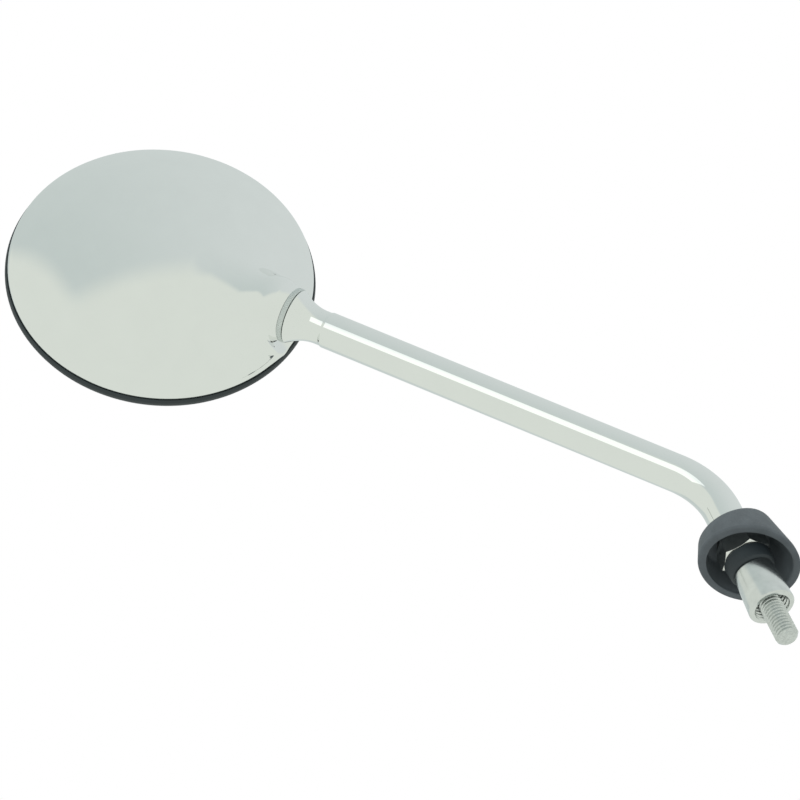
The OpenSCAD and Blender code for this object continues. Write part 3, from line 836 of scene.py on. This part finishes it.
class STEM_MIRROR_OT_bezel_and_glass(Operator):
    """Black bezel ring and the convex glass in it."""
    bl_idname = "stem_mirror.bezel_and_glass"
    bl_label = "Bezel and glass"

    def execute(self, context):
        sizes = context.scene.stem_mirror
        head, tones, place = sizes.head, sizes.finish, head_place(sizes)
        out, rim = head.head / 2, head.head / 2 - head.bezel_step
        inner = rim - head.shell_wall - head.gap
        seat = inner - head.bezel_wall
        glass = seat - head.glass_gap
        lip = glass - head.lip
        low, step = -head.bezel_front, head.bezel_show - head.gap
        top, back = head.bezel_show, low + head.lip_thickness
        groove = top - head.bezel_lap - head.gap
        bezel = turned("bezel_ring", [
            (lip, low + 0.4 * MM, 0.3 * MM), (lip + 0.6 * MM, low, 0.4 * MM), (out - 1 * MM, low, 0.8 * MM),
            (out, -0.6 * MM, 1.2 * MM), (out, 0.5 * MM, 0.8 * MM), (out - 0.4 * MM, step, 0.25 * MM),
            (rim + head.gap, step, 0.1 * MM), (rim + head.gap, groove, 0), (inner, groove, 0),
            (inner, top, 0.1 * MM), (seat, top, 0.1 * MM), (seat, back, 0), (lip, back, 0.2 * MM)],
            moulded_plastic(tones.bezel), place, around=256)
        finish_piece(bezel, "head", "bezel")
        self.glass(head, tones, place, glass, lip, back)
        return {"FINISHED"}

    def glass(self, head, tones, place, radius, lip, back):
        """The glass bulges towards the rider and lies on the bezel's lip."""
        bow = head.glass_radius

        def fall(r):
            return bow - math.sqrt(bow ** 2 - r ** 2)

        front_edge = back + fall(radius) - fall(lip)
        reach = np.linspace(0, radius - 0.25 * MM, 40)
        front = [(r, front_edge + fall(r) - fall(radius), 0) for r in reach]
        behind = [(r, front_edge + head.glass + fall(r) - fall(radius), 0) for r in reach[::-1]]
        edge = [(radius, front_edge + 0.25 * MM, 0), (radius, front_edge + head.glass - 0.25 * MM, 0)]
        piece = turned("convex_glass", front + edge + behind, silvered_glass(tones.glass), place,
                       around=192)
        finish_piece(piece, "head", "mirror_glass")


class STEM_MIRROR_OT_inner_pieces(Operator):
    """Finishes of the inner pieces, which keep their solids' shapes."""
    bl_idname = "stem_mirror.inner_pieces"
    bl_label = "Inner pieces"

    def execute(self, context):
        tones = context.scene.stem_mirror.finish
        steel = bare_metal("turned_steel", tones.steel, 0.8, 0.3)
        finishes = {name: steel for name in ("foot_insert", "neck_insert", "draw_bolt", "ball_washer",
                                             "spring_cup", "spring_washer", "tension_nut")}
        finishes["backing_plate"] = bare_metal("pressed_sheet", tones.plate, 4.0, 0.35)
        foam = closed_cell_foam(tones.foam)
        finishes["foam_pad"] = finishes["foam_blocks"] = foam
        for name, material in finishes.items():
            for material_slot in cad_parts[name].material_slots:
                material_slot.material = material
        return {"FINISHED"}


class STEM_MIRROR_OT_studio(Operator):
    """Camera, light tent and lamps."""
    bl_idname = "stem_mirror.studio"
    bl_label = "Studio"

    def execute(self, context):
        studio = context.scene.stem_mirror.studio
        context.scene.view_settings.view_transform = "Standard"
        data = bpy.data.cameras.new("view")
        data.lens, data.sensor_width, data.sensor_fit = studio.focal, 36, "HORIZONTAL"
        data.clip_start, data.clip_end = 0.05, 50
        camera = new_object("view", data)
        camera.location, camera.rotation_euler = studio.position, studio.turn
        context.scene.camera = camera
        self.tent(studio)
        self.lamps()
        self.strip_lamp(studio)
        return {"FINISHED"}

    def tent(self, studio):
        """A white background, with a two-tone tent that only reflections and soft light see."""
        world = bpy.data.worlds.new("light_tent")
        world.use_nodes = True
        bpy.context.scene.world = world
        tree = world.node_tree
        tree.nodes.clear()
        towards = add_node(tree, "ShaderNodeTexCoord")
        axes = add_node(tree, "ShaderNodeSeparateXYZ", inputs={"Vector": (towards, "Generated")})
        soft_step = {"interpolation_type": "SMOOTHSTEP"}
        above = add_node(tree, "ShaderNodeMapRange", soft_step, {
            "Value": (axes, "Z"), "From Min": 0.0, "From Max": 0.25})
        inside = add_node(tree, "ShaderNodeMapRange", soft_step, {
            "Value": (axes, "X"), "From Min": 0.49, "From Max": 0.63, "To Min": 1.0, "To Max": 0.0})
        roofed = add_node(tree, "ShaderNodeMath", {"operation": "MULTIPLY"},
                          {0: (above, "Result"), 1: (inside, "Result")})
        away = add_node(tree, "ShaderNodeMapRange", inputs={
            "Value": (axes, "X"), "From Min": 0.4, "From Max": -0.8})
        roof = add_node(tree, "ShaderNodeMix", {"data_type": "RGBA"}, {"Factor": (away, "Result")})
        roof.inputs["A"].default_value = (*studio.tent_high, 1)
        roof.inputs["B"].default_value = (*studio.tent_far, 1)
        walls = add_node(tree, "ShaderNodeMix", {"data_type": "RGBA"}, {"Factor": (roofed, "Value")})
        walls.inputs["A"].default_value = (*studio.tent_low, 1)
        tree.links.new(roof.outputs["Result"], walls.inputs["B"])
        rays = add_node(tree, "ShaderNodeLightPath")
        seen = add_node(tree, "ShaderNodeMath", {"operation": "MAXIMUM"},
                        {0: (rays, "Is Glossy Ray"), 1: (rays, "Is Transmission Ray")})
        reflected = add_node(tree, "ShaderNodeBackground", inputs={"Color": (walls, "Result")})
        soft = add_node(tree, "ShaderNodeBackground", inputs={"Strength": studio.fill})
        plain = add_node(tree, "ShaderNodeBackground")
        for node in (soft, plain):
            node.inputs["Color"].default_value = (1, 1, 1, 1)
        unseen = add_node(tree, "ShaderNodeMixShader", inputs={"Fac": (seen, "Value")})
        tree.links.new(soft.outputs[0], unseen.inputs[1])
        tree.links.new(reflected.outputs[0], unseen.inputs[2])
        shown = add_node(tree, "ShaderNodeMixShader", inputs={"Fac": (rays, "Is Camera Ray")})
        tree.links.new(unseen.outputs[0], shown.inputs[1])
        tree.links.new(plain.outputs[0], shown.inputs[2])
        add_node(tree, "ShaderNodeOutputWorld", inputs={"Surface": (shown, "Shader")})

    def strip_lamp(self, studio):
        """A broad lamp far in front of the stem, which only the stem shows."""
        far, long, wide = 4.0, 2.6, 2.2
        towards = Vector((0.43, 0.90, -0.03)).normalized()
        # Its short side lies along the way in which the stem's reflections turn around the tube.
        along = Vector((-0.26, 0.13, 0.26))
        short = (along - along.dot(towards) * towards).normalized()
        data = bpy.data.lights.new("strip_lamp", "AREA")
        data.shape, data.size, data.size_y = "RECTANGLE", long, wide
        data.energy = studio.strip * math.pi * long * wide
        lamp = new_object("strip_lamp", data)
        lamp.location = Vector((0.06, 0, 0.12)) + towards * far
        lamp.rotation_euler = Matrix((short.cross(towards), short, towards)).transposed().to_euler()
        shown = bpy.data.collections.new("shown_in_the_stem")
        lamp.light_linking.receiver_collection = shown

    def lamps(self):
        """Two broad lamps, one from the viewer's side and one from above."""
        for name, place, size, power in (("side_lamp", (0.9, 1.6, 0.2), 0.9, 9.0),
                                         ("top_lamp", (-0.6, 0.3, 1.6), 1.2, 8.0)):
            data = bpy.data.lights.new(name, "AREA")
            data.shape, data.size, data.energy = "DISK", size, power
            lamp = new_object(name, data)
            lamp.location = place
            towards = Vector((0.07, 0, 0.1)) - Vector(place)
            lamp.rotation_euler = towards.to_track_quat("-Z", "Y").to_euler()
            lamp.visible_glossy = False


class StemMirror(PropertyGroup):
    """All sizes and colours of the mirror."""
    foot: PointerProperty(type=FootSizes)
    stem: PointerProperty(type=StemSizes)
    joint: PointerProperty(type=JointSizes)
    head: PointerProperty(type=HeadSizes)
    finish: PointerProperty(type=Finishes)
    studio: PointerProperty(type=StudioSizes)


OPERATORS = (STEM_MIRROR_OT_studio, STEM_MIRROR_OT_stud, STEM_MIRROR_OT_foot, STEM_MIRROR_OT_boot,
             STEM_MIRROR_OT_stem, STEM_MIRROR_OT_ball_joint, STEM_MIRROR_OT_shell,
             STEM_MIRROR_OT_bezel_and_glass, STEM_MIRROR_OT_inner_pieces)


class STEM_MIRROR_PT_panel(Panel):
    """Buttons that build the mirror's pieces."""
    bl_label = "Stem mirror"
    bl_space_type = "VIEW_3D"
    bl_region_type = "UI"
    bl_category = "Mirror"

    def draw(self, context):
        for operator in OPERATORS:
            self.layout.operator(operator.bl_idname)


CLASSES = (FootSizes, StemSizes, JointSizes, HeadSizes, Finishes, StudioSizes, StemMirror,
           *OPERATORS, STEM_MIRROR_PT_panel)


def register():
    for item in CLASSES:
        bpy.utils.register_class(item)
    bpy.types.Scene.stem_mirror = PointerProperty(type=StemMirror)


def unregister():
    del bpy.types.Scene.stem_mirror
    for item in reversed(CLASSES):
        bpy.utils.unregister_class(item)


def main():
    register()
    bpy.ops.stem_mirror.studio()
    bpy.ops.stem_mirror.stud()
    bpy.ops.stem_mirror.foot()
    bpy.ops.stem_mirror.boot()
    bpy.ops.stem_mirror.stem()
    bpy.ops.stem_mirror.ball_joint()
    bpy.ops.stem_mirror.shell()
    bpy.ops.stem_mirror.bezel_and_glass()
    bpy.ops.stem_mirror.inner_pieces()


if __name__ == "__main__":
    main()
